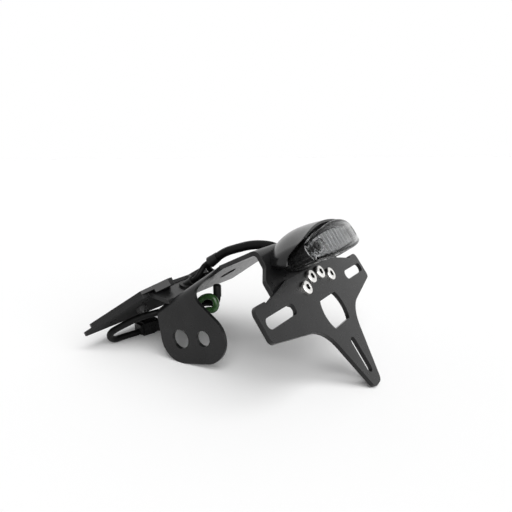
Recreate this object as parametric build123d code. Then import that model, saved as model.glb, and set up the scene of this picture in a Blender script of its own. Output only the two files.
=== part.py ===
from build123d import *
import os
from math import acos, atan2, asin, cos, degrees, hypot, radians, sin, sqrt, tan

# Tail tidy: folded sheet brackets that carry a motorcycle's tail light and number plate.
# Design frame, millimetres: X towards the rear, Y towards the bike's right, Z up. The origin lies
# midway between the number plate's slots, on the rear face of the number plate bracket.
# At the end the whole part is tipped about Y, as it lies on a bench.

# Sheet metal
SHEET = 3.0
FOLD_RADIUS = 3.0
FIT = 0.25

# Number plate bracket
SLOT_SPACING = 125.0
SLOT_LENGTH = 35.4
SLOT_WIDTH = 7.2
EAR_MARGIN = 3.8
EAR_TOP = 12.2
EAR_FOOT = -10.3
EAR_CORNER = 5.0
NOTCH_INSET = 14.0
NOTCH_STEP = 1.8
SHOULDER_Y = 38.0
SHOULDER_Z = 18.0
WAIST_Y = 26.3
WAIST_Z = -22.0
WAIST_RADIUS = 28.0
TAIL_TIP = -73.0
TAIL_HALF_WIDTH = 6.4
EYE_Z = -15.8
EYE_RADIUS = 16.6
EYE_HEIGHT = 21.0
TAIL_SLOT_TOP = -37.5
TAIL_SLOT_FOOT = -64.0
TAIL_SLOT_WIDTH = 7.0

# Folded main bracket
FLANGE_FOOT = -2.0
FLANGE_HALF_WIDTH = 54.4
FLANGE_NECK = 45.8
FLANGE_STEP_Z = 26.7
FLANGE_STEP = 8.3
ARM_RUN = 37.9
ARM_DROP = 6.5
WEB_TOP = 50.0
WEB_RUN = 54.9
JOGGLE_RISE = 14.0
FRONT_RUN = 64.2
FRONT_REAR_HALF = 45.0
FRONT_END_HALF = 62.5
FRONT_CORNER = 5.0
CABLE_HOLE_X = -64.3
CABLE_HOLE_RADIUS = 6.9

# Wing on the left side
WING_Y = 38.4
WING_FRONT_X = -112.0
LOBE_A = (-104.9, 20.5)
LOBE_A_RADIUS = 19.0
HOLE_A_RADIUS = 7.5
LOBE_B = (-85.2, 12.2)
LOBE_B_RADIUS = 19.4
HOLE_B_RADIUS = 6.05
NECK = (-76.0, 44.5)
NECK_RADIUS = 8.0

# Cover plate on the front plate
COVER_SETBACK = 8.0
EAR_REACH = 11.0
EAR_TIP_Y = 24.0
EAR_ROOT_Y = 13.0
EAR_TIP_WIDTH = 5.0
EAR_LIP = 3.0
MOUNT_HOLE_RADIUS = 3.3
MOUNT_REAR = (13.0, 33.0)
MOUNT_FRONT = (44.0, 44.0)
COVER_BOLT = (29.0, 25.0)

# Fasteners
BOLT_RADIUS = 2.5
BOLT_HEAD_RADIUS = 5.0
BOLT_HEAD_HEIGHT = 2.2
BOLT_HEAD_EDGE = 1.1
BOLT_SOCKET = 4.0
BOLT_TAIL = 1.5
NUT_FLATS = 8.0
NUT_HEIGHT = 4.0
WASHER_RADIUS = 5.0
WASHER = 1.0
PLATE_BOLTS = ((7.4, 12.1), (20.8, 7.1))

# Tail light
GASKET = 2.5
LIGHT_BASE_Z = 27.7
LIGHT_BASE_HALF = 27.5
LIGHT_BASE_HEIGHT = 8.7
LIGHT_MOUTH_X = 24.4
LIGHT_MOUTH_HALF = 40.5
LIGHT_MOUTH_HEIGHT = 10.4
OVAL_TOP = 0.45
OVAL_FOOT = 0.75
LENS_Z = 25.9
LENS_HALF = 41.8
LENS_HEIGHT = 11.1
LENS_FRONT_X = 33.8
LENS_DOME_RADIUS = 115.0
LENS_WALL = 2.0
LENS_EDGE = 1.0
HOUSING_WALL = 2.0
RIB = 1.0
RIB_COUNT = 4
STUD_Y = 20.0
LENS_SCREW_Y = 30.0
LENS_SCREW_RADIUS = 1.5
LENS_SCREW_LENGTH = 12.0
LENS_WELL_RADIUS = 3.7
LENS_BOSS = 1.3
BOARD_X = 17.8
BOARD = 1.6
REFLECTOR_GAP = 1.4
REFLECTOR = 1.2
LED_PITCH = 5.6
LED_COLUMNS = 8
LED_ROW_Z = 2.6
LED_SIZE = 2.2
LED_HEIGHT = 1.0
REFLECTOR_CUP = 2.0
FIN_HEIGHT = 5.0
FIN_WIDTH = 0.8
BAR_PITCH = 3.2
BAR_COUNT = 4
WINDOW_HALF = 15.0

# Hood over the light: share of its run, then rise of its middle, growth of its half width,
# of its height and of its upper corners over the rear section
HOOD_WALL = 1.8
HOOD_GAP = 0.7
HOOD_REAR_X = 30.0
HOOD_SECTIONS = (
    (0.0, 1.1, -3.3, 4.9, 0.5),
    (0.33, 0.7, -0.8, 5.6, 1.5),
    (0.64, 0.3, 0.0, 3.6, 0.5),
    (1.0, 0.0, 0.0, 0.0, 0.0),
)
HOOD_FRONT_Z = 30.5
HOOD_FOOT = (7.4, 23.5)
HOOD_CHEEK = (12.2, 28.8)
HOOD_BROW = (25.6, 33.6)
HOOD_RIM_X = 28.6
HOOD_RIB_X = 5.0

# Cable fittings
LOOM_Y = 4.0
LOOM_RADIUS = 3.5
GLAND_Z = 31.0
GLAND_RADIUS = 4.6
GLAND_LENGTH = 6.0
BEND_WINDOW_HALF = 8.0
BEND_WINDOW_FOOT = 25.8
BEND_WINDOW_RUN = 25.0
BOOT_X = -68.0
BOOT_Z = 63.0
BOOT_LENGTH = 9.0
BOOT_RADIUS = 4.6
STRAND_RADIUS = 2.25
STRAND_GAP = 5.0
GROMMET_Y = -4.0
GROMMET_RADIUS = 5.0
GROMMET_RIM = 8.0
GROMMET_RIM_HEIGHT = 1.6
GROMMET_NECK_RADIUS = 3.6
GROMMET_NECK_X = -96.0
LOOP_RADIUS = 2.75
WIRE_RADIUS = 2.5
BULLET_RADIUS = 3.1
BULLET_LENGTH = 9.5
PLUG_HEIGHT = 7.0
LOOP_PLUG_HEIGHT = 12.0
LOOP_PLUG_HEADING = 74
WIRE_PLUG_HEADING = 135

# Places that follow from the sizes above
ear_half = SLOT_SPACING / 2 + SLOT_LENGTH / 2 + EAR_MARGIN
flange_x = -SHEET * 1.5
flange_front = -SHEET * 2
arm_x = flange_x - ARM_RUN
foot_x = arm_x - WEB_RUN
head_x = foot_x - JOGGLE_RISE
end_x = head_x - FRONT_RUN
web_z = WEB_TOP - SHEET / 2
arm_z = web_z - ARM_DROP
front_z = web_z + JOGGLE_RISE
front_top = front_z + SHEET / 2
cover_top = front_top + SHEET
fold_mid = FOLD_RADIUS + SHEET / 2
fold_outer = FOLD_RADIUS + SHEET
wing_flat = WING_Y - fold_outer
base_x = -SHEET + GASKET
lens_centre = Vector(LENS_FRONT_X - LENS_DOME_RADIUS, 0, LENS_Z)


def outline(corners):
    """Face inside a closed outline of (x, y, corner radius)."""
    points = [(x, y) for x, y, _ in corners]
    return make_face(FilletPolyline(*points, radius=[r for _, _, r in corners], close=True))


def mirrored(half):
    """Closed outline from its right half, listed from the top to the foot."""
    return half + [(-y, z, r) for y, z, r in reversed(half)]


def half_oval(half_width, half_height, end_radius, side):
    """Upper (side 1) or lower (side -1) half of a long oval: a flat arc between two end arcs."""
    reach = half_width - end_radius
    rise = half_height - end_radius
    drop = (reach ** 2 - rise ** 2) / (2 * rise)
    turn = atan2(drop, reach)
    tip = (reach + end_radius * cos(turn), side * end_radius * sin(turn))
    bend = (reach + end_radius * cos(turn / 2), side * end_radius * sin(turn / 2))
    return [
        ThreePointArc((half_width, 0), bend, tip),
        ThreePointArc(tip, (0, side * half_height), (-tip[0], tip[1])),
        ThreePointArc((-tip[0], tip[1]), (-bend[0], bend[1]), (-half_width, 0)),
    ]


def light_oval(half_width, half_height, grow=0):
    """Oval of the light: sharp ends above, rounder ends below, grown or shrunk all round."""
    upper = half_oval(half_width + grow, half_height + grow, half_height * OVAL_TOP + grow, 1)
    lower = half_oval(half_width + grow, half_height + grow, half_height * OVAL_FOOT + grow, -1)
    return make_face(upper + lower)


def across(x, z=0):
    """Plane across the part at x, its own X along Y and its own Y along Z, centred at height z."""
    return Plane(origin=(x, 0, z), x_dir=(0, 1, 0), z_dir=(1, 0, 0))


def rod(radius, start, direction, length):
    """Round bar from a start point along a direction."""
    return extrude(Plane(origin=start, z_dir=direction) * Circle(radius), length)


def tapered_rod(radius, end_radius, start, direction, length):
    """Round bar that changes its radius along its length."""
    near = Plane(origin=start, z_dir=direction)
    return loft([near * Circle(radius), near.offset(length) * Circle(end_radius)])


def socket_bolt(head_face, direction, grip):
    """Low-head socket bolt: its head stands on head_face and its shank runs along direction."""
    plane = Plane(origin=head_face, z_dir=Vector(direction) * -1)
    head = extrude(Circle(BOLT_HEAD_RADIUS), BOLT_HEAD_HEIGHT)
    head = fillet(head.edges().sort_by(Axis.Z)[-1:], BOLT_HEAD_EDGE)
    socket = Pos(0, 0, BOLT_HEAD_HEIGHT * 0.12) * RegularPolygon(BOLT_SOCKET / 2, 6, major_radius=False)
    head -= extrude(socket, BOLT_HEAD_HEIGHT)
    shank = extrude(Circle(BOLT_RADIUS), -(grip + NUT_HEIGHT + BOLT_TAIL))
    return plane * (head + shank)


def hex_nut(seat, direction):
    """Hexagon nut on a seat, standing along direction."""
    plane = Plane(origin=seat, z_dir=direction)
    body = extrude(plane * RegularPolygon(NUT_FLATS / 2, 6, major_radius=False), NUT_HEIGHT)
    return body - extrude(plane * Circle(BOLT_RADIUS + FIT / 2), NUT_HEIGHT)


def washer(seat, direction):
    """Plain washer on a seat, standing along direction."""
    plane = Plane(origin=seat, z_dir=direction)
    return extrude(plane * (Circle(WASHER_RADIUS) - Circle(BOLT_RADIUS + FIT)), WASHER)


def number_plate_bracket():
    """Flat sheet that carries the number plate: two ears, an eye and a tail."""
    half = [
        (SHOULDER_Y, SHOULDER_Z, 6),
        (ear_half - NOTCH_INSET, EAR_TOP - NOTCH_STEP, 0.8),
        (ear_half - NOTCH_INSET + 1, EAR_TOP, 0.8),
        (ear_half, EAR_TOP, EAR_CORNER),
        (ear_half, EAR_FOOT, EAR_CORNER * 0.8),
        (WAIST_Y, WAIST_Z, WAIST_RADIUS),
        (TAIL_HALF_WIDTH, TAIL_TIP, TAIL_HALF_WIDTH * 0.8),
    ]
    face = outline(mirrored(half))
    slot = SlotOverall(SLOT_LENGTH, SLOT_WIDTH)
    for side in (-1, 1):
        face -= Pos(side * SLOT_SPACING / 2, 0) * slot
        for y, z in PLATE_BOLTS:
            face -= Pos(side * y, z) * Circle(BOLT_RADIUS + FIT)
    face -= Pos(0, EYE_Z) * (Circle(EYE_RADIUS) & Rectangle(3 * EYE_RADIUS, EYE_HEIGHT))
    tail_slot = SlotOverall(TAIL_SLOT_TOP - TAIL_SLOT_FOOT, TAIL_SLOT_WIDTH, rotation=90)
    face -= Pos(0, (TAIL_SLOT_TOP + TAIL_SLOT_FOOT) / 2) * tail_slot
    return extrude(across(-SHEET) * face, SHEET)


def wing_outline():
    """Side view of the wing: two lobes round its holes, hanging from the fold."""
    top_z = WEB_TOP + 1
    front = (WING_FRONT_X, WEB_TOP)
    front_angle = degrees(atan2(front[1] - LOBE_A[1], front[0] - LOBE_A[0]))
    front_turn = degrees(acos(LOBE_A_RADIUS / hypot(front[0] - LOBE_A[0], front[1] - LOBE_A[1])))
    start_a = front_angle + front_turn
    gap = hypot(LOBE_B[0] - LOBE_A[0], LOBE_B[1] - LOBE_A[1])
    line_angle = degrees(atan2(LOBE_B[1] - LOBE_A[1], LOBE_B[0] - LOBE_A[0]))
    foot_angle = line_angle - degrees(acos((LOBE_A_RADIUS - LOBE_B_RADIUS) / gap)) + 360
    neck_angle = degrees(atan2(NECK[1] - LOBE_B[1], NECK[0] - LOBE_B[0]))
    neck_turn = degrees(acos(LOBE_B_RADIUS / hypot(NECK[0] - LOBE_B[0], NECK[1] - LOBE_B[1])))
    end_b = neck_angle - neck_turn + 360
    lobe_a = CenterArc(LOBE_A, LOBE_A_RADIUS, start_a, foot_angle - start_a)
    lobe_b = CenterArc(LOBE_B, LOBE_B_RADIUS, foot_angle, end_b - foot_angle)
    heel = (arm_x, WEB_TOP - 0.4)
    neck = FilletPolyline(lobe_b @ 1, NECK, heel, (arm_x, top_z), radius=[NECK_RADIUS, 0])
    top = Polyline(neck @ 1, (WING_FRONT_X, top_z), front, lobe_a @ 0)
    return make_face([lobe_a, Line(lobe_a @ 1, lobe_b @ 0), lobe_b, neck, top])


def wing():
    """The wing with its fold, as a strip of folded sheet cut to the side view."""
    mid_y = WING_Y - SHEET / 2
    root = (SHEET - wing_flat, web_z)
    line = FilletPolyline(root, (-mid_y, web_z), (-mid_y, TAIL_TIP), radius=fold_mid)
    start_x = LOBE_A[0] - 2 * LOBE_A_RADIUS
    strip = extrude(across(start_x) * trace(line, SHEET), arm_x - start_x)
    corner = (Align.MAX, Align.MIN, Align.CENTER)
    strip -= Pos(foot_x, -wing_flat, web_z) * Box(WEB_RUN, WEB_RUN, WEB_RUN, align=corner)
    side = extrude(Plane.XZ * wing_outline(), 2 * WING_Y)
    holes = rod(HOLE_A_RADIUS, (LOBE_A[0], 0, LOBE_A[1]), (0, -1, 0), 2 * WING_Y)
    holes += rod(HOLE_B_RADIUS, (LOBE_B[0], 0, LOBE_B[1]), (0, -1, 0), 2 * WING_Y)
    return (strip & side) - holes


def front_edge_half(x):
    """Half width of the front plate's tapered edge at x."""
    return FRONT_REAR_HALF + (FRONT_END_HALF - FRONT_REAR_HALF) * (head_x - x) / FRONT_RUN


def main_bracket():
    """One folded sheet: flange, arm, web, joggle and front plate, with the wing on its left."""
    line = FilletPolyline(
        (flange_x, FLANGE_FOOT), (flange_x, arm_z), (arm_x, web_z),
        (foot_x, web_z), (head_x, front_z), (end_x, front_z),
        radius=fold_mid,
    )
    half_width = max(FLANGE_HALF_WIDTH, FRONT_END_HALF) + SHEET
    sheet = extrude(Plane.XZ * trace(line, SHEET), half_width, both=True)
    plan = outline([
        (-SHEET, FLANGE_NECK - 1, 0),
        (head_x, FRONT_REAR_HALF, 0),
        (end_x, FRONT_END_HALF, FRONT_CORNER),
        (end_x, -FRONT_END_HALF, FRONT_CORNER),
        (head_x, -FRONT_REAR_HALF, 0),
        (head_x, -WING_Y, 0),
        (foot_x, -WING_Y, 0),
        (foot_x, -wing_flat, 0),
        (arm_x, -wing_flat, 0),
        (arm_x, -wing_flat - SHEET, 0),
        (-SHEET, 1 - FLANGE_NECK, 0),
    ])
    plan_cut = extrude(Plane.XY.offset(arm_z - 2 * SHEET) * plan, front_z + 4 * SHEET - arm_z)
    flange = outline(mirrored([
        (FLANGE_NECK - 1, web_z, 0),
        (FLANGE_NECK, FLANGE_STEP_Z + FLANGE_STEP / 2, 3),
        (FLANGE_HALF_WIDTH, FLANGE_STEP_Z - FLANGE_STEP / 2, 3),
        (FLANGE_HALF_WIDTH, EAR_TOP - SHEET, 4),
        (SHOULDER_Y - 4, FLANGE_FOOT, 6),
    ]))
    flange_cut = extrude(across(flange_front - SHEET) * flange, 2 * SHEET)
    bracket = (sheet & (plan_cut + flange_cut)) + wing()
    bracket -= flange_holes()
    bracket -= rod(CABLE_HOLE_RADIUS, (CABLE_HOLE_X, 0, web_z - SHEET), (0, 0, 1), 2 * SHEET)
    bracket -= rod(GROMMET_RADIUS, joggle_point(-2 * SHEET), (1, 0, 1), 4 * SHEET)
    return bracket - front_holes()


def flange_holes():
    """Holes through the flange, and the cable window over the fold to the arm."""
    holes = Pos(flange_front - BEND_WINDOW_RUN / 2, LOOM_Y, 0) * Box(
        BEND_WINDOW_RUN + 4 * SHEET, 2 * BEND_WINDOW_HALF, web_z - BEND_WINDOW_FOOT,
        align=(Align.CENTER, Align.CENTER, Align.MIN)
    ).moved(Location((0, 0, BEND_WINDOW_FOOT)))
    start_x = flange_front - SHEET
    for side in (-1, 1):
        for y, z in PLATE_BOLTS + ((STUD_Y, LIGHT_BASE_Z),):
            holes += rod(BOLT_RADIUS + FIT, (start_x, side * y, z), (1, 0, 0), 3 * SHEET)
    return holes


def joggle_point(height):
    """Point over the joggle's grommet hole, at a height above the sheet's middle."""
    step = height / sqrt(2)
    return (foot_x + head_x) / 2 + step, GROMMET_Y, (web_z + front_z) / 2 + step


def front_places():
    """Centres of the mounting holes on the front plate."""
    return [(head_x - run, side * y) for run, y in (MOUNT_REAR, MOUNT_FRONT) for side in (-1, 1)]


def cover_bolt_places():
    """Centres of the bolts that hold the cover plate."""
    return [(head_x - COVER_BOLT[0], side * COVER_BOLT[1]) for side in (-1, 1)]


def front_holes():
    """Mounting and bolt holes through the front plate and its cover."""
    start = front_z - SHEET
    holes = [rod(MOUNT_HOLE_RADIUS, (x, y, start), (0, 0, 1), 3 * SHEET) for x, y in front_places()]
    holes += [rod(BOLT_RADIUS + FIT, (x, y, start), (0, 0, 1), 3 * SHEET) for x, y in cover_bolt_places()]
    return holes


def cover_plate():
    """Second sheet on the front plate, with two lipped ears that overhang the joggle."""
    front_x = end_x + COVER_SETBACK
    half = front_edge_half(front_x)
    tip_x = head_x + EAR_REACH
    corners = [
        (front_x, half, FRONT_CORNER),
        (head_x, FRONT_REAR_HALF, 0),
        (tip_x, EAR_TIP_Y, 1),
        (tip_x, EAR_TIP_Y - EAR_TIP_WIDTH, 1),
        (head_x, EAR_ROOT_Y, 3),
    ]
    corners += [(x, -y, r) for x, y, r in reversed(corners)]
    top = Plane.XY.offset(front_top)
    plate = extrude(top * outline(corners), SHEET)
    for side in (-1, 1):
        ear = outline([
            (head_x, side * FRONT_REAR_HALF, 0),
            (tip_x, side * EAR_TIP_Y, 1),
            (tip_x, side * (EAR_TIP_Y - EAR_TIP_WIDTH), 1),
            (tip_x - EAR_TIP_WIDTH, side * (EAR_TIP_Y - EAR_TIP_WIDTH), 0),
        ])
        inner = Pos(-SHEET, -side * SHEET) * ear
        lip_start = head_x + EAR_LIP + FIT + SHEET / 2
        rearward = (Align.MIN, Align.CENTER, Align.CENTER)
        keep = Pos(lip_start, 0, front_top) * Box(EAR_REACH, 4 * EAR_TIP_Y, 4 * SHEET, align=rearward)
        plate += extrude(top * (ear - inner), -EAR_LIP) & keep
    return plate - front_holes()


def light_section(x):
    """Half width, half height and middle height of the light's flaring body at x."""
    share = (x - base_x) / (LIGHT_MOUTH_X - base_x)
    half = LIGHT_BASE_HALF + (LIGHT_MOUTH_HALF - LIGHT_BASE_HALF) * share
    height = LIGHT_BASE_HEIGHT + (LIGHT_MOUTH_HEIGHT - LIGHT_BASE_HEIGHT) * share
    return half, height, LIGHT_BASE_Z + (LENS_Z - LIGHT_BASE_Z) * share


def light_loft(start_x, end_x, grow):
    """Flaring body of the light between two stations, grown or shrunk all round."""
    faces = []
    for x in (start_x, end_x):
        half, height, z = light_section(x)
        faces.append(across(x, z) * light_oval(half, height, grow))
    return loft(faces)


def light_gasket():
    """Rubber pad between the light and the flange."""
    face = Pos(0, LIGHT_BASE_Z) * light_oval(LIGHT_BASE_HALF, LIGHT_BASE_HEIGHT, 0.6)
    face -= Pos(LOOM_Y, GLAND_Z) * Circle(GLAND_RADIUS + FIT)
    for side in (-1, 1):
        face -= Pos(side * STUD_Y, LIGHT_BASE_Z) * Circle(BOLT_RADIUS + FIT)
    return extrude(across(-SHEET) * face, GASKET)


def window_box(clearance):
    """Block that the number plate's lamp window fills in the housing's underside."""
    run = LIGHT_MOUTH_X - base_x
    return Pos(base_x + run * 0.5, 0, LENS_Z - LIGHT_MOUTH_HEIGHT) * Box(
        run * 0.4 - 2 * clearance, 2 * (WINDOW_HALF - clearance), 2 * LIGHT_BASE_HEIGHT - 6
    )


def rib_circle(x, side, share):
    """Section of a rib at x, on a lower end arc of the light's body."""
    half, height, z = light_section(x)
    end_radius = height * OVAL_FOOT
    angle = radians(78) * share
    y = half - end_radius + end_radius * cos(angle)
    return across(x, z) * Pos(side * y, -end_radius * sin(angle)) * Circle(RIB)


def light_housing():
    """Ribbed housing: back wall, flaring side wall and two posts for the lens screws."""
    outer = light_loft(base_x, LIGHT_MOUTH_X, 0)
    inner = light_loft(base_x + HOUSING_WALL, LIGHT_MOUTH_X, -HOUSING_WALL)
    housing = outer
    for side in (-1, 1):
        for number in range(RIB_COUNT):
            share = number / (RIB_COUNT - 1)
            housing += loft([rib_circle(x, side, share) for x in (base_x, LIGHT_MOUTH_X)])
    housing = housing - inner - window_box(0)
    hole_x = LIGHT_MOUTH_X - LENS_SCREW_LENGTH - 1
    for side in (-1, 1):
        y = side * LENS_SCREW_Y
        post = rod(2.5 * LENS_SCREW_RADIUS, (base_x, y, LENS_Z), (1, 0, 0), BOARD_X - base_x)
        hole = rod(LENS_SCREW_RADIUS + FIT / 2, (hole_x, y, LENS_Z), (1, 0, 0), BOARD_X - hole_x)
        housing = housing + (post & outer) - hole
    return housing


def plate_lamp_window():
    """Clear window in the housing's underside, over the number plate."""
    wall = light_loft(base_x, LIGHT_MOUTH_X, 0)
    wall -= light_loft(base_x + HOUSING_WALL, LIGHT_MOUTH_X, -HOUSING_WALL)
    return wall & window_box(FIT / 2)


def lamp_board():
    """Circuit board on the housing's posts."""
    face = light_oval(LENS_SCREW_Y + 2.5 * LENS_SCREW_RADIUS, LIGHT_MOUTH_HEIGHT - HOUSING_WALL - 2.6)
    for side in (-1, 1):
        face -= Pos(side * LENS_SCREW_Y, 0) * Circle(LENS_SCREW_RADIUS + FIT)
    return extrude(across(BOARD_X, LENS_Z) * face, BOARD)


def led_places():
    """Centres of the LED chips on the board."""
    middle = (LED_COLUMNS - 1) / 2
    columns = [(column - middle) * LED_PITCH for column in range(LED_COLUMNS)]
    return [(y, z) for y in columns for z in (-LED_ROW_Z, LED_ROW_Z)]


def led_chips():
    """Square LED chips on the board."""
    board_face = across(BOARD_X + BOARD, LENS_Z)
    chip = Rectangle(LED_SIZE, LED_SIZE)
    return [extrude(board_face * Pos(y, z) * chip, LED_HEIGHT) for y, z in led_places()]


def reflector():
    """Plate with a cup round each chip, upright fins between the columns and low level bars."""
    seat_x = BOARD_X + BOARD
    plate_x = seat_x + REFLECTOR_GAP
    rim = light_oval(LIGHT_MOUTH_HALF - HOUSING_WALL - 2.6, LIGHT_MOUTH_HEIGHT - HOUSING_WALL - 1.2)
    face = rim
    for y, z in led_places():
        face -= Pos(y, z) * Circle(REFLECTOR_CUP)
    body = extrude(across(plate_x, LENS_Z) * face, REFLECTOR)
    fin_face = across(plate_x + REFLECTOR, LENS_Z)
    for number in range(LED_COLUMNS + 1):
        y = (number - LED_COLUMNS / 2) * LED_PITCH
        fin = Pos(y, 0) * Rectangle(FIN_WIDTH, 2 * LIGHT_MOUTH_HEIGHT) & rim
        body += extrude(fin_face * fin, FIN_HEIGHT)
    for number in range(BAR_COUNT):
        z = (number - (BAR_COUNT - 1) / 2) * BAR_PITCH
        bar = Pos(0, z) * Rectangle(LED_COLUMNS * LED_PITCH, FIN_WIDTH) & rim
        body += extrude(fin_face * bar, FIN_HEIGHT * 0.6)
    for side in (-1, 1):
        start = (seat_x, side * LENS_SCREW_Y, LENS_Z)
        body += rod(2.4 * LENS_SCREW_RADIUS, start, (1, 0, 0), REFLECTOR_GAP)
        body -= rod(LENS_SCREW_RADIUS + FIT, start, (1, 0, 0), REFLECTOR_GAP + REFLECTOR)
    return body


def lens_dome(inset):
    """Solid bounded by the lens's oval and its domed face, shrunk all round by inset."""
    prism = extrude(across(LIGHT_MOUTH_X, LENS_Z) * light_oval(LENS_HALF, LENS_HEIGHT, -inset), LENS_FRONT_X)
    return prism & (Pos(*lens_centre) * Sphere(LENS_DOME_RADIUS - inset))


def light_lens():
    """Smoked lens: domed shell with two wells for its screws."""
    outer = lens_dome(0)
    outer = fillet(outer.edges().filter_by(lambda edge: edge.center().X > LIGHT_MOUTH_X + 1), LENS_EDGE)
    lens = outer - lens_dome(LENS_WALL)
    foot_x = BOARD_X + BOARD + REFLECTOR_GAP + REFLECTOR
    for side in (-1, 1):
        y = side * LENS_SCREW_Y
        seat = (LIGHT_MOUTH_X, y, LENS_Z)
        lens += rod(LENS_WELL_RADIUS + LENS_BOSS, seat, (1, 0, 0), LENS_FRONT_X) & outer
        lens += rod(2.4 * LENS_SCREW_RADIUS, (foot_x, y, LENS_Z), (1, 0, 0), LIGHT_MOUTH_X - foot_x + 1)
        lens -= rod(LENS_WELL_RADIUS, (LIGHT_MOUTH_X + 1, y, LENS_Z), (1, 0, 0), LENS_FRONT_X)
        lens -= rod(LENS_SCREW_RADIUS + FIT, (foot_x, y, LENS_Z), (1, 0, 0), LENS_FRONT_X)
    return lens


def lens_screws():
    """Pan-head screws in the lens's wells, down into the housing's posts."""
    screws = []
    seat_x = LIGHT_MOUTH_X + 1
    for side in (-1, 1):
        seat = (seat_x, side * LENS_SCREW_Y, LENS_Z)
        head = rod(LENS_WELL_RADIUS - 2 * FIT, seat, (1, 0, 0), 2)
        shank = rod(LENS_SCREW_RADIUS, seat, (-1, 0, 0), LENS_SCREW_LENGTH + 1)
        slot_plane = across(seat_x + 1, LENS_Z) * Pos(side * LENS_SCREW_Y, 0)
        cross = Rectangle(4, 0.9) + Rectangle(0.9, 4)
        screws.append(head + shank - extrude(slot_plane * cross, 2))
    return screws


def hood_loft(inset):
    """Arched body of the hood, shrunk all round by inset."""
    grow = HOOD_GAP + HOOD_WALL - inset
    faces = []
    for share, rise, widen, heighten, rounding in HOOD_SECTIONS:
        half = LENS_HALF + widen + grow
        top_radius = LENS_HEIGHT * OVAL_TOP + rounding + grow
        upper = half_oval(half, LENS_HEIGHT + heighten + grow, top_radius, 1)
        lower = half_oval(half, LENS_HEIGHT + grow, LENS_HEIGHT * OVAL_FOOT + grow, -1)
        x = -SHEET + (HOOD_REAR_X + SHEET) * share
        faces.append(across(x, LENS_Z + rise) * make_face(upper + lower))
    return loft(faces)


def light_hood():
    """Hood over the light: arched shell, cut back at its sides, with a rib round the housing."""
    top = LENS_Z + 2 * LENS_HEIGHT + HOOD_SECTIONS[0][3]
    side_view = outline([
        (-SHEET, HOOD_FRONT_Z, 0),
        (*HOOD_FOOT, 2),
        (*HOOD_CHEEK, 5),
        (*HOOD_BROW, 5),
        (HOOD_RIM_X, top, 0),
        (-SHEET, top, 0),
    ])
    keep = extrude(Plane.XZ * side_view, 2 * LENS_HALF, both=True)
    inner = hood_loft(HOOD_WALL)
    shell = (hood_loft(0) & keep) - inner
    slab = Pos(HOOD_RIB_X, 0, LENS_Z) * Box(HOOD_WALL, 3 * LENS_HALF, 6 * LENS_HEIGHT)
    rib = (inner & keep & slab) - light_loft(base_x, LIGHT_MOUTH_X, RIB + FIT)
    return shell + rib


def cable_gland():
    """Rubber gland through the gasket and the cable window, where the loom leaves the light."""
    return tapered_rod(GLAND_RADIUS, LOOM_RADIUS + 0.7, (base_x, LOOM_Y, GLAND_Z), (-1, 0, 0), GLAND_LENGTH)


def splitter_boot():
    """Shrunk boot where the loom splits into two strands."""
    return tapered_rod(LOOM_RADIUS + 0.3, BOOT_RADIUS, (BOOT_X, LOOM_Y, BOOT_Z), (-1, 0, 0), BOOT_LENGTH)


def joggle_grommet():
    """Grommet in the joggle, with a level neck for the strand on top and a wide rim below."""
    rim_start = SHEET / 2
    body = rod(GROMMET_RADIUS - FIT, joggle_point(-rim_start), (1, 0, 1), SHEET)
    body += rod(GROMMET_RIM - 1, joggle_point(rim_start), (1, 0, 1), GROMMET_RIM_HEIGHT)
    body += rod(GROMMET_RIM, joggle_point(-rim_start), (-1, 0, -1), GROMMET_RIM_HEIGHT)
    hub = joggle_point(rim_start)
    neck_end = (GROMMET_NECK_X, GROMMET_Y, hub[2] + 1)
    neck = rod(GROMMET_NECK_RADIUS, neck_end, (-1, 0, 0), GROMMET_NECK_X - hub[0] + 4)
    above = Plane(origin=hub, z_dir=(1, 0, 1))
    return body + split(neck, above, Keep.TOP)


def bench_pitch():
    """Angle in degrees that levels the wing's front lobe with the tip of the tail."""
    along = LOBE_A[0] + SHEET
    up = LOBE_A[1] - TAIL_TIP
    return 180 - degrees(asin(LOBE_A_RADIUS / hypot(along, up))) - degrees(atan2(up, along))


def turn_radii(points):
    """Bend radius at each inner point of a route, from its runs and its turn."""
    radii = []
    for before, here, after in zip(points, points[1:], points[2:]):
        arrive = Vector(here) - Vector(before)
        leave = Vector(after) - Vector(here)
        half_turn = radians(arrive.get_angle(leave)) / 2
        radii.append(0.45 * min(arrive.length, leave.length) / tan(half_turn))
    return radii


def cord(points, radius):
    """Round cord along straight runs joined by tangent bends."""
    path = FilletPolyline(*points, radius=turn_radii(points))
    section = Plane(origin=path @ 0, z_dir=path % 0) * Circle(radius)
    return sweep(section, path)


def plug(face, heading, length, width, height):
    """Level two-part connector: its cable side stands at face, its body runs along heading in degrees."""
    ends = (Align.MIN, Align.CENTER, Align.CENTER)
    seal = Box(length * 0.15, width * 0.8, height * 0.7, align=ends)
    socket = Pos(length * 0.15) * Box(length * 0.5, width, height, align=ends)
    socket = fillet(socket.edges().filter_by(Axis.X), height * 0.15)
    nose = Pos(length * 0.65) * Box(length * 0.35, width * 0.86, height * 0.82, align=ends)
    latch = Pos(length * 0.3, 0, height / 2) * Box(length * 0.5, width * 0.3, height * 0.12, align=ends)
    return Location(face, (0, 0, heading)) * (seal + socket + nose + latch)


def flange_fasteners():
    """Bolts, washers and nuts that hold the number plate bracket to the flange."""
    bolts = []
    washers = []
    nuts = []
    for side in (-1, 1):
        for y, z in PLATE_BOLTS:
            bolts.append(socket_bolt((0, side * y, z), (-1, 0, 0), 2 * SHEET + WASHER))
            washers.append(washer((flange_front, side * y, z), (-1, 0, 0)))
            nuts.append(hex_nut((flange_front - WASHER, side * y, z), (-1, 0, 0)))
    return bolts, washers, nuts


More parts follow.
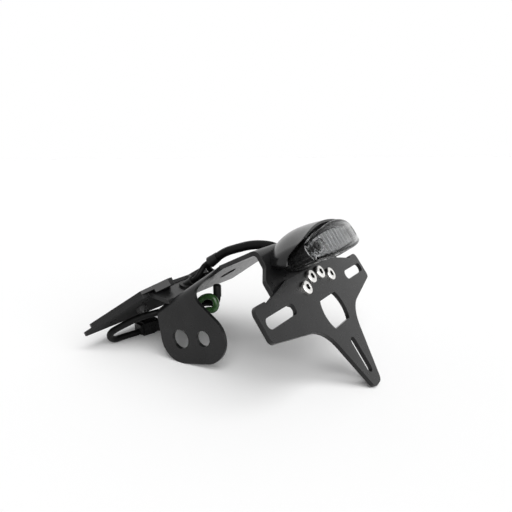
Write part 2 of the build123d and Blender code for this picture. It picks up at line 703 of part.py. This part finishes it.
def light_fasteners():
    """Studs of the light, with their washers and nuts behind the flange."""
    reach = base_x - flange_front + WASHER + NUT_HEIGHT + BOLT_TAIL
    studs = []
    washers = []
    nuts = []
    for side in (-1, 1):
        y = side * STUD_Y
        studs.append(rod(BOLT_RADIUS, (base_x, y, LIGHT_BASE_Z), (-1, 0, 0), reach))
        washers.append(washer((flange_front, y, LIGHT_BASE_Z), (-1, 0, 0)))
        nuts.append(hex_nut((flange_front - WASHER, y, LIGHT_BASE_Z), (-1, 0, 0)))
    return studs, washers, nuts


plate_bolts, plate_washers, plate_nuts = flange_fasteners()
light_studs, light_washers, light_nuts = light_fasteners()
cover_bolts = [socket_bolt((x, y, cover_top), (0, 0, -1), 2 * SHEET) for x, y in cover_bolt_places()]
cover_nuts = [hex_nut((x, y, front_z - SHEET / 2), (0, 0, -1)) for x, y in cover_bolt_places()]

# Cables over the web, in the design frame
boot_end = BOOT_X - BOOT_LENGTH
neck_z = joggle_point(SHEET / 2)[2] + 1
far_y = LOOM_Y + STRAND_GAP / 2
near_y = LOOM_Y - STRAND_GAP / 2
far_z = WEB_TOP + PLUG_HEIGHT / 2
loom_route = [
    (base_x - GLAND_LENGTH, LOOM_Y, GLAND_Z),
    (base_x - GLAND_LENGTH - 12, LOOM_Y, GLAND_Z),
    (BOOT_X + 45.2, LOOM_Y + 0.2, BOOT_Z - 16.5),
    (BOOT_X + 33, LOOM_Y + 0.5, BOOT_Z - 7.4),
    (BOOT_X + 18, LOOM_Y + 0.3, BOOT_Z - 2),
    (BOOT_X + 9, LOOM_Y, BOOT_Z),
    (BOOT_X, LOOM_Y, BOOT_Z),
]
far_route = [
    (boot_end, far_y, BOOT_Z),
    (boot_end - 4.5, far_y, BOOT_Z),
    (boot_end - 10, far_y + 4, BOOT_Z - 1.8),
    (boot_end - 13, far_y + 10.3, BOOT_Z - 5.6),
    (boot_end - 13, far_y + 18, far_z),
    (boot_end - 13, far_y + 24.5, far_z),
]
near_route = [
    (boot_end, near_y, BOOT_Z),
    (boot_end - 5.5, near_y, BOOT_Z),
    (GROMMET_NECK_X + 5.5, GROMMET_Y, neck_z),
    (GROMMET_NECK_X, GROMMET_Y, neck_z),
]

design_nodes = {
    "main_bracket": main_bracket(),
    "number_plate_bracket": number_plate_bracket(),
    "cover_plate": cover_plate(),
    "cover_bolts": Compound(cover_bolts),
    "cover_nuts": Compound(cover_nuts),
    "plate_bolts": Compound(plate_bolts),
    "plate_washers": Compound(plate_washers),
    "plate_nuts": Compound(plate_nuts),
    "light_gasket": light_gasket(),
    "light_housing": light_housing(),
    "plate_lamp_window": plate_lamp_window(),
    "lamp_board": lamp_board(),
    "led_chips": Compound(led_chips()),
    "reflector": reflector(),
    "light_lens": light_lens(),
    "lens_screws": Compound(lens_screws()),
    "light_hood": light_hood(),
    "light_studs": Compound(light_studs),
    "light_washers": Compound(light_washers),
    "light_nuts": Compound(light_nuts),
    "cable_gland": cable_gland(),
    "splitter_boot": splitter_boot(),
    "joggle_grommet": joggle_grommet(),
    "loom": cord(loom_route, LOOM_RADIUS),
    "far_strand": cord(far_route, STRAND_RADIUS),
    "near_strand": cord(near_route, STRAND_RADIUS),
    "far_plug": plug(far_route[-1], 90, 13, 9, PLUG_HEIGHT),
}

# The part lies on a bench: nose down, on the front lobe of its wing and the tip of its tail
pitch = bench_pitch()
tip_over = Rotation(0, -pitch, 0)
nodes = {name: tip_over * shape for name, shape in design_nodes.items()}
bench_z = -SHEET * sin(radians(pitch)) + TAIL_TIP * cos(radians(pitch))


def below_grommet(side, depth):
    """Point below the joggle's grommet, in the bench frame."""
    place = tip_over * Pos(*joggle_point(-SHEET / 2 - GROMMET_RIM_HEIGHT - depth))
    return place.position + Vector(0, side * GROMMET_RIM * 0.68, 0)


# Cables under the front plate, in the bench frame
loop_z = bench_z + LOOP_RADIUS + FIT
wire_z = bench_z + PLUG_HEIGHT / 2
loop_start = below_grommet(0, 0)
green_start = below_grommet(-1, 0)
black_start = below_grommet(1, 0)
loop_bend = Vector(loop_start.X - 52.5, loop_start.Y - 22, loop_z)
loop_route = [
    loop_start,
    below_grommet(0, 13),
    loop_start + Vector(-13, -20, -14.5),
    loop_start + Vector(-24.5, -28, -17.5),
    loop_start + Vector(-38, -37, -25),
    loop_start + Vector(-50.5, -40.5, -33),
    Vector(loop_start.X - 54, loop_start.Y - 34, loop_z),
    loop_bend,
    loop_bend + Vector(13 * cos(radians(LOOP_PLUG_HEADING)), 13 * sin(radians(LOOP_PLUG_HEADING)), 0),
]
wire_heading = Vector(cos(radians(WIRE_PLUG_HEADING)), sin(radians(WIRE_PLUG_HEADING)), 0)
green_end = Vector(loop_start.X - 17, loop_start.Y + 35, wire_z)
green_route = [
    green_start,
    below_grommet(-1, 9),
    green_start + Vector(9, -4.5, -13),
    green_start + Vector(18.5, -7.8, -6),
    green_start + Vector(27.8, -9.4, 3.2),
    green_start + Vector(37.1, -9.4, 4.8),
    green_start + Vector(40.5, -9.4, -0.8),
    green_start + Vector(37.3, -9.4, -6.4),
    green_start + Vector(29.3, -9.2, -6.9),
    loop_start + Vector(19.8, -5, -18),
    loop_start + Vector(6, 13, -25),
    loop_start + Vector(-9, 26, -36),
    green_end,
    green_end + wire_heading * 9,
]
black_end = black_start + Vector(36.1, -13.5, 2.9)
black_route = [
    black_start,
    below_grommet(1, 10),
    black_start + Vector(9.8, -2.5, -13),
    black_start + Vector(20.3, -9.5, -10.6),
    black_start + Vector(28.8, -12.5, -7),
    black_end + Vector(0, 0, -6),
    black_end,
]
loop_plug_face = (loop_route[-1].X, loop_route[-1].Y, bench_z + LOOP_PLUG_HEIGHT / 2)
nodes["front_loop"] = cord(loop_route, LOOP_RADIUS)
nodes["loop_plug"] = plug(loop_plug_face, LOOP_PLUG_HEADING, 20, 13, LOOP_PLUG_HEIGHT)
nodes["green_wire"] = cord(green_route, WIRE_RADIUS)
nodes["black_wire"] = cord(black_route, WIRE_RADIUS)
nodes["wire_plug"] = plug(tuple(green_route[-1]), WIRE_PLUG_HEADING, 17, 11, PLUG_HEIGHT)
bullet = rod(BULLET_RADIUS, tuple(black_end), (0, 0, 1), BULLET_LENGTH)
nodes["bullet_plug"] = fillet(bullet.edges().sort_by(Axis.Z)[-1:], BULLET_RADIUS * 0.5)

# The origin is the middle of the bottom of the box round the rigid pieces
loose = ("loom", "splitter_boot", "far_strand", "near_strand", "far_plug")
loose += ("front_loop", "loop_plug", "green_wire", "black_wire", "wire_plug", "bullet_plug")
boxes = [shape.bounding_box() for name, shape in nodes.items() if name not in loose]
middle_x = (min(box.min.X for box in boxes) + max(box.max.X for box in boxes)) / 2
middle_y = (min(box.min.Y for box in boxes) + max(box.max.Y for box in boxes)) / 2
floor_z = min(box.min.Z for box in boxes)

os.makedirs("parts", exist_ok=True)
for name, shape in nodes.items():
    export_step(Pos(-middle_x, -middle_y, -floor_z) * shape, f"parts/{name}.step")
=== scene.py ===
"""Looks of the tail tidy round its CAD frame: materials, cables, floor, light and camera."""

from math import radians

import bpy
from mathutils import Matrix, Vector


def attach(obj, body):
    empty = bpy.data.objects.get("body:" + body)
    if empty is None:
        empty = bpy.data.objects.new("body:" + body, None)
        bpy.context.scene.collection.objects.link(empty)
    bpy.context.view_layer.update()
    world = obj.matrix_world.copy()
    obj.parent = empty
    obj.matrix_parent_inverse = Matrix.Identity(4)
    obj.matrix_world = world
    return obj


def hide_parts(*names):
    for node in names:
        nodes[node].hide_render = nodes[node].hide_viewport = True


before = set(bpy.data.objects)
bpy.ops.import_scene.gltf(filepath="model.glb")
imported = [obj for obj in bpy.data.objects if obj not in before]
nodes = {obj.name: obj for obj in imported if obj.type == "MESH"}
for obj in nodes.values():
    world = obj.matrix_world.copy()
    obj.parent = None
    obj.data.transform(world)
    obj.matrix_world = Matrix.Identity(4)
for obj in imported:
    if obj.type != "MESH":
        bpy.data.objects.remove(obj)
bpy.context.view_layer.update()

MM = 0.001

# Camera at the photograph's angle: place and reach in metres, turns in degrees, lens in millimetres
CAMERA_PLACE = (0.188016, -0.2916, 0.1529)
CAMERA_AZIMUTH = 30.63
CAMERA_ELEVATION = 12.127
CAMERA_ROLL = -0.466
CAMERA_LENS = 32.75
CAMERA_SENSOR = 36.0
CAMERA_NEAR = 0.01
CAMERA_FAR = 50.0
LEVEL_VIEW = 90.0

# Light and floor: the key's spread in degrees, the floor's side in metres
WORLD_LIGHT = 0.25
WORLD_WHITE = 1.0
KEY_STRENGTH = 4.15
KEY_SPREAD = 75.0
KEY_FROM = (0.68, -0.4, 0.61)
FLOOR_SIZE = 60.0
FLOOR_COLOUR = (0.95, 0.95, 0.95, 1.0)
FLOOR_ROUGHNESS = 0.6
FLOOR_GLOSS = 0.2

# Diameters and lengths of the cables, in millimetres
LOOM_DIAMETER = 7.0
STRAND_DIAMETER = 4.5
LOOP_DIAMETER = 5.5
WIRE_DIAMETER = 5.0

# Routes of the cables, in millimetres in the row frame
LOOM = [
    (46.67, 4.0, 83.57), (40.7, 4.0, 79.45), (30.0, 4.1, 88.2), (11.0, 4.5, 88.0),
    (-6.6, 4.3, 82.6), (-16.2, 4.0, 79.04), (-22.12, 4.0, 74.94),
]
FAR_STRAND = [
    (-29.53, 6.5, 69.83), (-33.23, 6.5, 67.27), (-36.73, 10.5, 62.66),
    (-37.04, 16.8, 57.83), (-34.82, 24.5, 54.62), (-34.82, 31.0, 54.62),
]
FRONT_LOOP = [
    (-48.28, -4.0, 45.09), (-50.62, -4.0, 32.3), (-61.28, -24.0, 30.59),
    (-72.78, -32.0, 27.59), (-86.28, -41.0, 20.09), (-98.78, -44.5, 12.09),
    (-102.28, -38.0, 3.0), (-100.78, -26.0, 3.0), (-97.2, -13.5, 3.0),
]
GREEN_WIRE = [
    (-48.28, -9.44, 45.09), (-49.9, -9.44, 36.23), (-39.28, -13.94, 32.09), (-29.78, -17.24, 39.09),
    (-20.48, -18.84, 48.29), (-11.18, -18.84, 49.89), (-7.78, -18.84, 44.29), (-10.98, -18.84, 38.69),
    (-18.98, -18.64, 38.19), (-28.48, -9.0, 27.09), (-42.28, 9.0, 20.09), (-57.28, 22.0, 9.09),
    (-65.28, 31.0, 3.5), (-71.64, 37.36, 3.5),
]
BLACK_WIRE = [
    (-48.28, 1.44, 45.09), (-50.08, 1.44, 35.25), (-38.48, -1.06, 32.5), (-30.5, -8.3, 38.3),
    (-21.5, -11.4, 41.2), (-12.18, -12.06, 41.99), (-12.18, -12.06, 47.99),
]

# Smoothness of a cable: the order of its line, and its steps along and round it
CABLE_ORDER = 3
CABLE_STEPS = 10
CABLE_ROUND_STEPS = 6

# Parts of the noise's range over which colour and roughness change
COLOUR_START = 0.35
COLOUR_END = 0.65
ROUGHNESS_START = 0.3
ROUGHNESS_END = 0.7

# Dry coat under the front plate: rear edge along X and fade, in millimetres, and Z of its faces' normals
DRY_COAT_X = -48.0
DRY_COAT_FADE = 5.0
DOWN_START = -0.3
DOWN_FULL = -0.5

# Painted shade of deep recesses, and samples for the painted recess shade and for rounded edges
PAINTED_RECESS_SHADE = 0.01
PAINTED_SHADE_SAMPLES = 8
EDGE_SAMPLES = 6

# Numbers of the sockets of a Mix node that mixes colours
MIX_SHARE = 0
MIX_FIRST = 6
MIX_SECOND = 7
MIX_RESULT = 2


def fill(node, **values):
    """Sets a node's own input sockets, with _ for each space in a socket's name."""
    for name, value in values.items():
        node.inputs[name.replace("_", " ")].default_value = value


def grey(level):
    """Grey colour of a level."""
    return (level, level, level)


class Shader:
    """A node material, built up from its principled shader."""

    def __init__(self, name):
        self.material = bpy.data.materials.new(name)
        self.material.use_nodes = True
        self.tree = self.material.node_tree
        self.shader = self.tree.nodes["Principled BSDF"]
        self.place = self.node("TexCoord").outputs["Object"]

    def node(self, kind, **values):
        """New node of a kind, with values for its input sockets."""
        node = self.tree.nodes.new("ShaderNode" + kind)
        fill(node, **values)
        return node

    def link(self, source, target):
        """Link from an output socket to an input socket."""
        self.tree.links.new(source, target)

    def set(self, **values):
        """Sets the principled shader's own sockets."""
        fill(self.shader, **values)
        return self

    def noise(self, scale, detail=3.0):
        """Grey noise of a given scale per metre."""
        texture = self.node("TexNoise", Scale=scale, Detail=detail)
        self.link(self.place, texture.inputs["Vector"])
        return texture.outputs["Fac"]

    def ramp(self, value, low, high, start, end):
        """Colours from low to high as a value goes from start to end."""
        node = self.node("ValToRGB")
        first, last = node.color_ramp.elements
        first.position = start
        last.position = end
        first.color = (*low, 1.0)
        last.color = (*high, 1.0)
        self.link(value, node.inputs["Fac"])
        return node.outputs["Color"]

    def span(self, value, start, end, low=0.0, high=1.0):
        """Numbers from low to high as a value goes from start to end."""
        node = self.node("MapRange", From_Min=start, From_Max=end, To_Min=low, To_Max=high)
        self.link(value, node.inputs["Value"])
        return node.outputs["Result"]

    def combine(self, operation, first, second):
        """Number worked out from two others."""
        node = self.node("Math")
        node.operation = operation
        self.link(first, node.inputs[0])
        self.link(second, node.inputs[1])
        return node.outputs[0]

    def along(self, vector, axis):
        """One axis of a vector."""
        node = self.node("SeparateXYZ")
        self.link(vector, node.inputs["Vector"])
        return node.outputs[axis]

    def colour(self, noise, low, high):
        """Base colour that wanders between two colours."""
        mottled = self.ramp(noise, low, high, COLOUR_START, COLOUR_END)
        self.link(mottled, self.shader.inputs["Base Color"])

    def roughness(self, noise, low, high):
        """Roughness that wanders between two values."""
        mottled = self.span(noise, ROUGHNESS_START, ROUGHNESS_END, low, high)
        self.link(mottled, self.shader.inputs["Roughness"])

    def matt_below(self, front, fade):
        """Full roughness on faces that look down, ahead of a place along X, in millimetres."""
        normal = self.node("NewGeometry").outputs["True Normal"]
        ahead = self.span(self.along(self.place, "X"), (front + fade) * MM, front * MM)
        down = self.span(self.along(normal, "Z"), DOWN_START, DOWN_FULL)
        dry = self.combine("MULTIPLY", ahead, down)
        roughness = self.shader.inputs["Roughness"]
        self.link(self.combine("MAXIMUM", roughness.links[0].from_socket, dry), roughness)

    def paint_recess_shade(self, reach, start, end):
        """Paints shade into the base colour in recesses, felt over a reach in millimetres."""
        # Painted shade: ambient occlusion darkens the base colour in recesses
        occlusion = self.node("AmbientOcclusion", Distance=reach * MM)
        occlusion.samples = PAINTED_SHADE_SAMPLES
        occlusion.only_local = True
        mix = self.node("Mix")
        mix.data_type = "RGBA"
        mix.blend_type = "MULTIPLY"
        mix.inputs[MIX_SHARE].default_value = 1.0
        base = self.shader.inputs["Base Color"]
        painted_shade = self.ramp(occlusion.outputs["AO"], grey(PAINTED_RECESS_SHADE), grey(1.0), start, end)
        self.link(base.links[0].from_socket, mix.inputs[MIX_FIRST])
        self.link(painted_shade, mix.inputs[MIX_SECOND])
        self.link(mix.outputs[MIX_RESULT], base)

    def bump(self, noise, height, edge=0.0):
        """Fine relief of a height in millimetres, over edges rounded by a radius in millimetres."""
        node = self.node("Bump", Strength=1.0, Distance=height * MM)
        self.link(noise, node.inputs["Height"])
        if edge:
            bevel = self.node("Bevel", Radius=edge * MM)
            bevel.samples = EDGE_SAMPLES
            self.link(bevel.outputs["Normal"], node.inputs["Normal"])
        self.link(node.outputs["Normal"], self.shader.inputs["Normal"])


def powder_coat():
    """Satin black powder coat with a fine orange peel, dry and matt under the front plate."""
    shader = Shader("powder_coat").set(Specular_IOR_Level=0.27)
    shader.colour(shader.noise(60), low=(0.0035, 0.0035, 0.0037), high=(0.0065, 0.0065, 0.0067))
    shader.roughness(shader.noise(350, detail=4), low=0.26, high=0.34)
    shader.matt_below(DRY_COAT_X, DRY_COAT_FADE)
    shader.bump(shader.noise(1400, detail=2), height=0.05, edge=0.5)
    return shader.material


def bright_steel():
    """Bright plated steel, with painted shade in its sockets."""
    shader = Shader("bright_steel").set(Metallic=1.0)
    shader.colour(shader.noise(500), low=(0.72, 0.71, 0.69), high=(0.9, 0.89, 0.87))
    shader.roughness(shader.noise(900, detail=4), low=0.24, high=0.38)
    # Painted shade: the sockets of the bolt heads are darkened by occlusion
    shader.paint_recess_shade(reach=3.0, start=0.55, end=0.85)
    shader.bump(shader.noise(2500, detail=2), height=0.01, edge=0.2)
    return shader.material


def black_steel():
    """Blackened steel of the cover's bolts and the lens screws."""
    shader = Shader("black_steel").set(Specular_IOR_Level=0.5)
    shader.colour(shader.noise(300), low=grey(0.012), high=grey(0.03))
    shader.roughness(shader.noise(800), low=0.3, high=0.45)
    shader.bump(shader.noise(2000, detail=2), height=0.01, edge=0.2)
    return shader.material


def rubber(name, gloss, low, high):
    """Matt black rubber, between two levels of grey."""
    shader = Shader(name).set(Specular_IOR_Level=gloss)
    shader.colour(shader.noise(250), grey(low), grey(high))
    shader.roughness(shader.noise(700), low=0.36, high=0.48)
    shader.bump(shader.noise(1800), height=0.04, edge=0.3)
    return shader.material


def moulded_plastic(name, gloss, low, high):
    """Moulded black plastic with a fine grain, between two levels of grey."""
    shader = Shader(name).set(Specular_IOR_Level=gloss)
    shader.colour(shader.noise(180), grey(low), grey(high))
    shader.roughness(shader.noise(600), low=0.24, high=0.34)
    shader.bump(shader.noise(2200, detail=2), height=0.02, edge=0.3)
    return shader.material


def polished_plastic():
    """Polished black plastic of the hood."""
    shader = Shader("polished_plastic").set(Specular_IOR_Level=0.32)
    shader.colour(shader.noise(120), low=(0.004, 0.004, 0.0042), high=(0.007, 0.007, 0.0072))
    shader.roughness(shader.noise(220), low=0.16, high=0.24)
    shader.bump(shader.noise(400, detail=2), height=0.012, edge=0.6)
    return shader.material


def smoked_lens():
    """Smoked plastic, with a low IOR so that its own gloss doesn't hide the reflector."""
    shader = Shader("smoked_lens").set(Transmission_Weight=1.0, IOR=1.2)
    shader.colour(shader.noise(90), low=(0.56, 0.565, 0.565), high=(0.62, 0.625, 0.625))
    shader.roughness(shader.noise(300), low=0.05, high=0.08)
    shader.bump(shader.noise(250, detail=1), height=0.008)
    return shader.material


def clear_plastic():
    """Clear plastic of the number plate lamp's window."""
    shader = Shader("clear_plastic").set(Transmission_Weight=0.95, IOR=1.49)
    shader.colour(shader.noise(120), low=(0.86, 0.88, 0.88), high=(0.93, 0.94, 0.94))
    shader.roughness(shader.noise(500), low=0.08, high=0.16)
    shader.bump(shader.noise(600, detail=1), height=0.01)
    return shader.material


def metallised():
    """Metallised plastic of the reflector, with painted shade between its fins."""
    shader = Shader("metallised").set(Metallic=1.0)
    shader.colour(shader.noise(200), low=(0.85, 0.85, 0.86), high=(0.95, 0.95, 0.96))
    shader.roughness(shader.noise(500), low=0.55, high=0.65)
    # Painted shade: the cells between the reflector's fins are darkened by occlusion
    shader.paint_recess_shade(reach=5.0, start=0.15, end=0.65)
    shader.bump(shader.noise(700, detail=1), height=0.01)
    return shader.material


def solder_mask():
    """Green circuit board."""
    shader = Shader("solder_mask").set(Specular_IOR_Level=0.5)
    shader.colour(shader.noise(700, detail=1), low=(0.01, 0.06, 0.03), high=(0.02, 0.11, 0.05))
    shader.roughness(shader.noise(500), low=0.25, high=0.35)
    shader.bump(shader.noise(900, detail=1), height=0.01)
    return shader.material


def led_package():
    """Pale yellow LED packages."""
    shader = Shader("led_package").set(Specular_IOR_Level=0.5)
    shader.colour(shader.noise(900, detail=1), low=(0.75, 0.6, 0.25), high=(0.85, 0.8, 0.55))
    shader.roughness(shader.noise(900), low=0.2, high=0.3)
    shader.bump(shader.noise(900, detail=1), height=0.01)
    return shader.material


def green_insulation():
    """Glossy green insulation."""
    shader = Shader("green_insulation").set(Specular_IOR_Level=0.55)
    shader.colour(shader.noise(300), low=(0.022, 0.058, 0.018), high=(0.038, 0.095, 0.03))
    shader.roughness(shader.noise(500), low=0.18, high=0.28)
    shader.bump(shader.noise(900, detail=1), height=0.01)
    return shader.material


def paint(material, *names):
    """Gives CAD nodes one material."""
    for name in names:
        slots = nodes[name].data.materials
        slots.clear()
        slots.append(material)


def metres(point):
    """Point of a route in metres."""
    return tuple(value * MM for value in point)


def cable(name, node, route, diameter, material):
    """Round cable on a smooth line that a route steers, in place of a CAD node."""
    curve = bpy.data.curves.new(name, "CURVE")
    curve.dimensions = "3D"
    curve.bevel_depth = diameter * MM / 2
    curve.bevel_resolution = CABLE_ROUND_STEPS
    curve.use_fill_caps = True
    curve.resolution_u = CABLE_STEPS
    spline = curve.splines.new("NURBS")
    spline.points.add(len(route) - 1)
    for point, place in zip(spline.points, route):
        point.co = (*metres(place), 1.0)
    spline.order_u = CABLE_ORDER
    spline.use_endpoint_u = True
    curve.materials.append(material)
    piece = bpy.data.objects.new(name, curve)
    bpy.context.collection.objects.link(piece)
    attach(piece, "root")
    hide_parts(node)
    return piece


def white_floor():
    """Pale floor under the object."""
    mesh = bpy.data.meshes.new("floor")
    half = FLOOR_SIZE / 2
    corners = [(-half, -half, 0), (half, -half, 0), (half, half, 0), (-half, half, 0)]
    mesh.from_pydata(corners, [], [(0, 1, 2, 3)])
    floor = bpy.data.objects.new("floor", mesh)
    bpy.context.collection.objects.link(floor)
    shader = Shader("floor")
    shader.set(Base_Color=FLOOR_COLOUR, Roughness=FLOOR_ROUGHNESS, Specular_IOR_Level=FLOOR_GLOSS)
    mesh.materials.append(shader.material)


def studio_world():
    """White surroundings as the eye, gloss and glass see them, which light the object less."""
    world = bpy.data.worlds.new("studio")
    world.use_nodes = True
    tree = world.node_tree
    rays = tree.nodes.new("ShaderNodeLightPath")
    seen = rays.outputs["Is Camera Ray"]
    for name in ("Is Glossy Ray", "Is Transmission Ray"):
        either = tree.nodes.new("ShaderNodeMath")
        either.operation = "MAXIMUM"
        tree.links.new(seen, either.inputs[0])
        tree.links.new(rays.outputs[name], either.inputs[1])
        seen = either.outputs[0]
    strength = tree.nodes.new("ShaderNodeMapRange")
    fill(strength, To_Min=WORLD_LIGHT, To_Max=WORLD_WHITE)
    tree.links.new(seen, strength.inputs["Value"])
    background = tree.nodes["Background"]
    fill(background, Color=(1.0, 1.0, 1.0, 1.0))
    tree.links.new(strength.outputs["Result"], background.inputs["Strength"])
    bpy.context.scene.world = world


def key_light():
    """Broad soft light from above, on the side that the number plate faces."""
    light = bpy.data.lights.new("key", "SUN")
    light.energy = KEY_STRENGTH
    light.angle = radians(KEY_SPREAD)
    lamp = bpy.data.objects.new("key", light)
    lamp.rotation_euler = Vector(KEY_FROM).to_track_quat("Z", "Y").to_euler()
    bpy.context.collection.objects.link(lamp)


def photo_camera():
    """Camera at the photograph's place."""
    data = bpy.data.cameras.new("photo_camera")
    data.lens = CAMERA_LENS
    data.sensor_width = CAMERA_SENSOR
    data.clip_start = CAMERA_NEAR
    data.clip_end = CAMERA_FAR
    camera = bpy.data.objects.new("photo_camera", data)
    camera.location = CAMERA_PLACE
    turn = Matrix.Rotation(radians(CAMERA_AZIMUTH), 4, "Z")
    turn @= Matrix.Rotation(radians(LEVEL_VIEW - CAMERA_ELEVATION), 4, "X")
    turn @= Matrix.Rotation(radians(CAMERA_ROLL), 4, "Z")
    camera.rotation_euler = turn.to_euler()
    bpy.context.collection.objects.link(camera)
    bpy.context.scene.camera = camera


# Finishes of the CAD nodes
steel = bright_steel()
sleeve = rubber("black_sleeve", gloss=0.1, low=0.002, high=0.004)
paint(powder_coat(), "main_bracket", "number_plate_bracket", "cover_plate")
paint(black_steel(), "cover_bolts", "cover_nuts", "lens_screws")
paint(steel, "plate_bolts", "plate_washers", "plate_nuts")
paint(steel, "light_studs", "light_washers", "light_nuts")
paint(
    rubber("rubber", gloss=0.2, low=0.005, high=0.01),
    "light_gasket", "cable_gland", "splitter_boot", "joggle_grommet", "bullet_plug",
)
paint(sleeve, "near_strand")
paint(moulded_plastic("housing_plastic", gloss=0.5, low=0.014, high=0.022), "light_housing")
paint(
    moulded_plastic("plug_plastic", gloss=0.15, low=0.004, high=0.007),
    "far_plug", "loop_plug", "wire_plug",
)
paint(polished_plastic(), "light_hood")
paint(smoked_lens(), "light_lens")
paint(clear_plastic(), "plate_lamp_window")
paint(metallised(), "reflector")
paint(solder_mask(), "lamp_board")
paint(led_package(), "led_chips")

# Cables
loom = cable("loom_sleeve", "loom", LOOM, LOOM_DIAMETER, sleeve)
far_strand = cable("far_strand_sleeve", "far_strand", FAR_STRAND, STRAND_DIAMETER, sleeve)
front_loop = cable("front_loop_sleeve", "front_loop", FRONT_LOOP, LOOP_DIAMETER, sleeve)
green_wire = cable(
    "green_insulated_wire", "green_wire", GREEN_WIRE, WIRE_DIAMETER, green_insulation(),
)
black_wire = cable("black_insulated_wire", "black_wire", BLACK_WIRE, WIRE_DIAMETER, sleeve)

# Stage
white_floor()
studio_world()
key_light()
photo_camera()
bpy.context.scene.view_settings.view_transform = "Standard"
